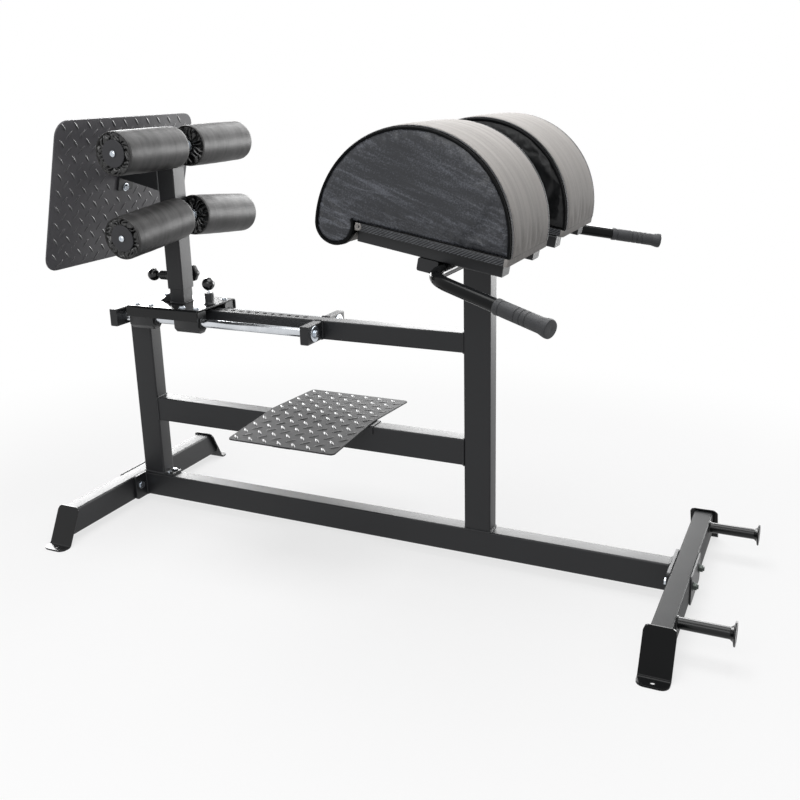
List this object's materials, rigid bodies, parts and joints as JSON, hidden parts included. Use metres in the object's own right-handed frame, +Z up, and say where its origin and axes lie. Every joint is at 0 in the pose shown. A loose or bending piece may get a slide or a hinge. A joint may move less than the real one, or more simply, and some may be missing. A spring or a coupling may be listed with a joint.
{
  "type": "glute ham developer",
  "caption": "Floor-standing glute ham bench with domed thigh pads, a handlebar and band pegs, and a foot plate with ankle rollers on a sliding, height-adjustable carriage.",
  "frame": {"origin": "on the floor, under the middle of the whole object", "axes": "+X along the base tube from the rollers to the pads, +Y to the far side, +Z up"},
  "size_m": [1.9112, 1.1466, 1.2061],
  "materials": {
    "black_coat": "satin black powder coat",
    "tread_plate": "black powder coat over raised tread bars",
    "chrome": "polished chrome on steel",
    "zinc": "bright zinc plated steel",
    "black_plastic": "moulded black plastic",
    "roller_vinyl": "black grained vinyl over foam, gathered at the ends",
    "pad_vinyl": "grey vinyl over the top with black vinyl side panels",
    "pad_board": "board under a black ribbed edge band",
    "grip_rubber": "black moulded rubber"
  },
  "bodies": {
    "frame": {"base_tube": "black_coat", "mid_rail": "black_coat", "rear_upright": "black_coat", "main_upright": "black_coat", "upper_rail": "black_coat", "rear_cross_bar": "black_coat", "rod_bracket_near": "black_coat", "rod_bracket_far": "black_coat", "guide_rod_near": "chrome", "guide_rod_far": "chrome", "rear_joint_flange": "black_coat", "front_joint_flange": "black_coat", "rear_back_plate": "black_coat", "front_back_plate": "black_coat", "rear_foot_bar": "black_coat", "front_foot_bar": "black_coat", "rear_foot_near": "black_coat", "rear_foot_far": "black_coat", "front_foot_near": "black_coat", "front_foot_far": "black_coat", "rear_joint_bolt_near": "zinc", "rear_joint_bolt_far": "zinc", "front_joint_bolt_near": "zinc", "front_joint_bolt_far": "zinc", "band_peg_near": "black_coat", "band_peg_far": "black_coat", "step_saddle": "black_coat", "step_plate": "tread_plate", "pad_cross_beam": "black_coat", "handlebar": "black_coat", "pad_near": "pad_vinyl", "pad_far": "pad_vinyl", "pad_board_near": "pad_board", "pad_board_far": "pad_board", "pad_carrier_near_outer": "black_coat", "pad_carrier_near_inner": "black_coat", "pad_carrier_far_outer": "black_coat", "pad_carrier_far_inner": "black_coat", "hand_grip_near": "grip_rubber", "hand_grip_far": "grip_rubber"},
    "carriage": {"carriage_plate": "black_coat", "mast_post": "black_coat", "carriage_pin_housing": "black_plastic", "bearing_block_rear_near": "black_plastic", "bearing_block_rear_far": "black_plastic", "bearing_block_front_near": "black_plastic", "bearing_block_front_far": "black_plastic"},
    "mast": {"mast_sleeve": "black_coat", "mast_pin_housing": "black_plastic", "foot_plate": "tread_plate", "foot_plate_arm": "black_coat", "upper_roller_axle": "zinc", "lower_roller_axle": "zinc"},
    "carriage_pin": {"carriage_pin": "black_plastic"},
    "mast_pin": {"mast_pin": "black_plastic"},
    "clamp_knob": {"clamp_knob": "black_plastic"},
    "upper_roller_near": {"upper_roller_near": "roller_vinyl"},
    "upper_roller_far": {"upper_roller_far": "roller_vinyl"},
    "lower_roller_near": {"lower_roller_near": "roller_vinyl"},
    "lower_roller_far": {"lower_roller_far": "roller_vinyl"}
  },
  "joints": [
    {"name": "carriage_slide", "type": "slide", "parent": "frame", "child": "carriage", "axis": [1, 0, 0], "range_m": [0, 0.324]},
    {"name": "mast_height", "type": "slide", "parent": "carriage", "child": "mast", "axis": [0, 0, 1], "range_m": [0, 0.15]},
    {"name": "carriage_pin_travel", "type": "slide", "parent": "carriage", "child": "carriage_pin", "axis": [0, 0, -1], "range_m": [0, 0.008]},
    {"name": "mast_pin_travel", "type": "slide", "parent": "mast", "child": "mast_pin", "axis": [1, 0, 0], "range_m": [0, 0.008]},
    {"name": "clamp_knob_turn", "type": "hinge", "parent": "mast", "child": "clamp_knob", "pos_m": [-0.695, 0.05, 0.744], "axis": [0, 1, 0], "range_deg": [0, 540]},
    {"name": "upper_roller_near_spin", "type": "hinge", "parent": "mast", "child": "upper_roller_near", "pos_m": [-0.6547, 0, 1.121], "axis": [0, 1, 0], "continuous": true},
    {"name": "upper_roller_far_spin", "type": "hinge", "parent": "mast", "child": "upper_roller_far", "pos_m": [-0.6547, 0, 1.121], "axis": [0, 1, 0], "continuous": true},
    {"name": "lower_roller_near_spin", "type": "hinge", "parent": "mast", "child": "lower_roller_near", "pos_m": [-0.6547, 0, 0.926], "axis": [0, 0.9957, 0.0924], "continuous": true},
    {"name": "lower_roller_far_spin", "type": "hinge", "parent": "mast", "child": "lower_roller_far", "pos_m": [-0.6547, 0, 0.926], "axis": [0, 0.9957, -0.0924], "continuous": true}
  ]
}
